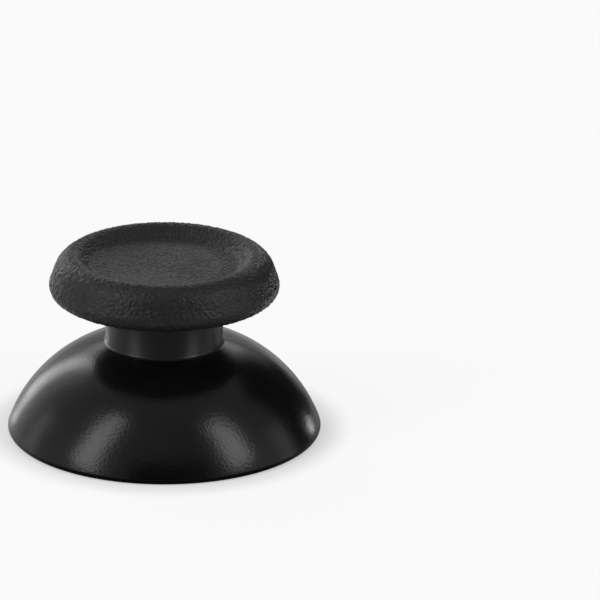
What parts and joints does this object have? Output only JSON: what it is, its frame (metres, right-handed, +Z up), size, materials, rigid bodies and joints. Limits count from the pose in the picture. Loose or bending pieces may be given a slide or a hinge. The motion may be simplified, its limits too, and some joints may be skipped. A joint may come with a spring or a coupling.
{
  "type": "thumbstick cap",
  "caption": "Round thumbstick cap: a glossy hollow dome skirt and neck with a keyed socket below, and a soft grained thumb pad with a shallow dish on top.",
  "frame": {"origin": "centre of the skirt rim's plane, on which the cap stands", "axes": "+Z up along the cap's axis; the flats of the socket face -Y and +Y, and +X is the cap's right"},
  "size_m": [0.027, 0.027, 0.016],
  "materials": {
    "hard_plastic": "black, moulded, polished outside",
    "soft_rubber": "dark grey, matt, with a fine leather grain"
  },
  "bodies": {
    "root": {"body_moulding": "hard_plastic", "grip_pad": "soft_rubber"}
  },
  "joints": []
}
